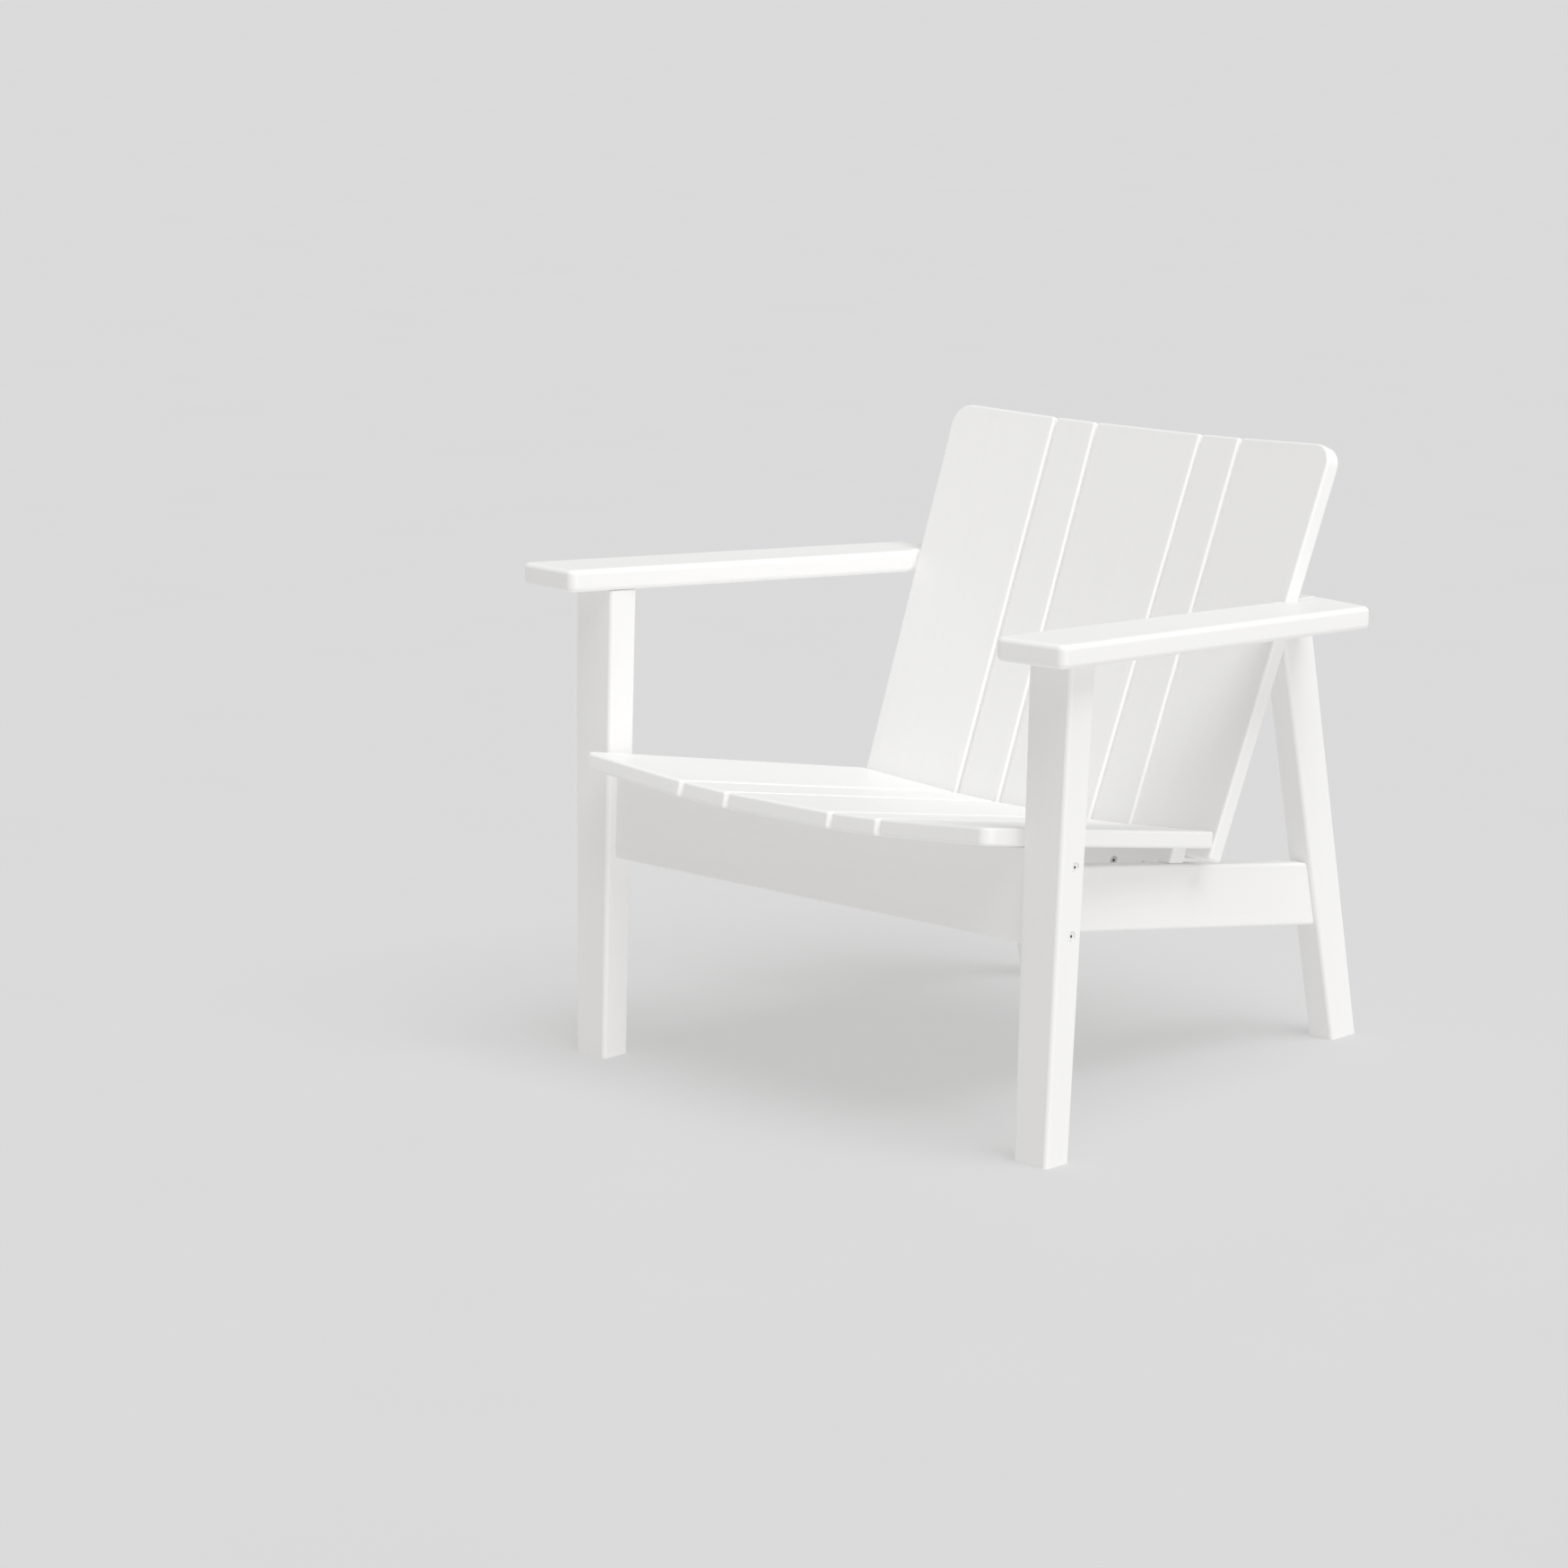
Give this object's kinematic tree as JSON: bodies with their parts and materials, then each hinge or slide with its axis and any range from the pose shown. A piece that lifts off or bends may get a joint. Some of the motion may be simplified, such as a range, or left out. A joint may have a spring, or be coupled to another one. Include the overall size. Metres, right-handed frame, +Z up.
{
  "type": "adirondack chair",
  "caption": "Low slatted adirondack garden armchair in white board lumber with a dished, raked seat, a fanned reclined back, flat armrests and splayed legs.",
  "frame": {"origin": "on the floor, under the middle of the chair's box", "axes": "+Z up, -Y the way the sitter faces, +X to the right seen from the front"},
  "size_m": [0.7912, 0.72, 0.6953],
  "materials": {
    "white_board": "satin",
    "stainless_steel": "satin"
  },
  "bodies": {
    "root": {"arm_joint_plate_left": "stainless_steel", "arm_joint_plate_right": "stainless_steel", "arm_pin_left": "stainless_steel", "arm_pin_right": "stainless_steel", "armrest_left": "white_board", "armrest_right": "white_board", "back_slat_left_narrow": "white_board", "back_slat_left_outer": "white_board", "back_slat_middle": "white_board", "back_slat_right_narrow": "white_board", "back_slat_right_outer": "white_board", "block_apron_screw_left": "stainless_steel", "block_apron_screw_right": "stainless_steel", "block_rail_screw_left": "stainless_steel", "block_rail_screw_right": "stainless_steel", "corner_block_left": "white_board", "corner_block_right": "white_board", "front_apron": "white_board", "front_leg_left": "white_board", "front_leg_right": "white_board", "front_seat_cleat": "white_board", "leg_screw_left_lower": "stainless_steel", "leg_screw_left_upper": "stainless_steel", "leg_screw_right_lower": "stainless_steel", "leg_screw_right_upper": "stainless_steel", "leg_top_screw_left": "stainless_steel", "leg_top_screw_right": "stainless_steel", "lower_back_screw_left_middle": "stainless_steel", "lower_back_screw_left_narrow": "stainless_steel", "lower_back_screw_left_outer_far": "stainless_steel", "lower_back_screw_left_outer_near": "stainless_steel", "lower_back_screw_right_middle": "stainless_steel", "lower_back_screw_right_narrow": "stainless_steel", "lower_back_screw_right_outer_far": "stainless_steel", "lower_back_screw_right_outer_near": "stainless_steel", "middle_seat_batten": "white_board", "plate_screw_left_arm": "stainless_steel", "plate_screw_left_board": "stainless_steel", "plate_screw_right_arm": "stainless_steel", "plate_screw_right_board": "stainless_steel", "rail_screw_left_lower": "stainless_steel", "rail_screw_left_upper": "stainless_steel", "rail_screw_right_lower": "stainless_steel", "rail_screw_right_upper": "stainless_steel", "rear_cross_board": "white_board", "rear_leg_left": "white_board", "rear_leg_right": "white_board", "rear_seat_batten": "white_board", "seat_slat_left_narrow": "white_board", "seat_slat_left_outer": "white_board", "seat_slat_middle": "white_board", "seat_slat_right_narrow": "white_board", "seat_slat_right_outer": "white_board", "side_rail_left": "white_board", "side_rail_right": "white_board", "upper_back_screw_left_narrow": "stainless_steel", "upper_back_screw_left_outer": "stainless_steel", "upper_back_screw_middle": "stainless_steel", "upper_back_screw_right_narrow": "stainless_steel", "upper_back_screw_right_outer": "stainless_steel"}
  },
  "joints": []
}
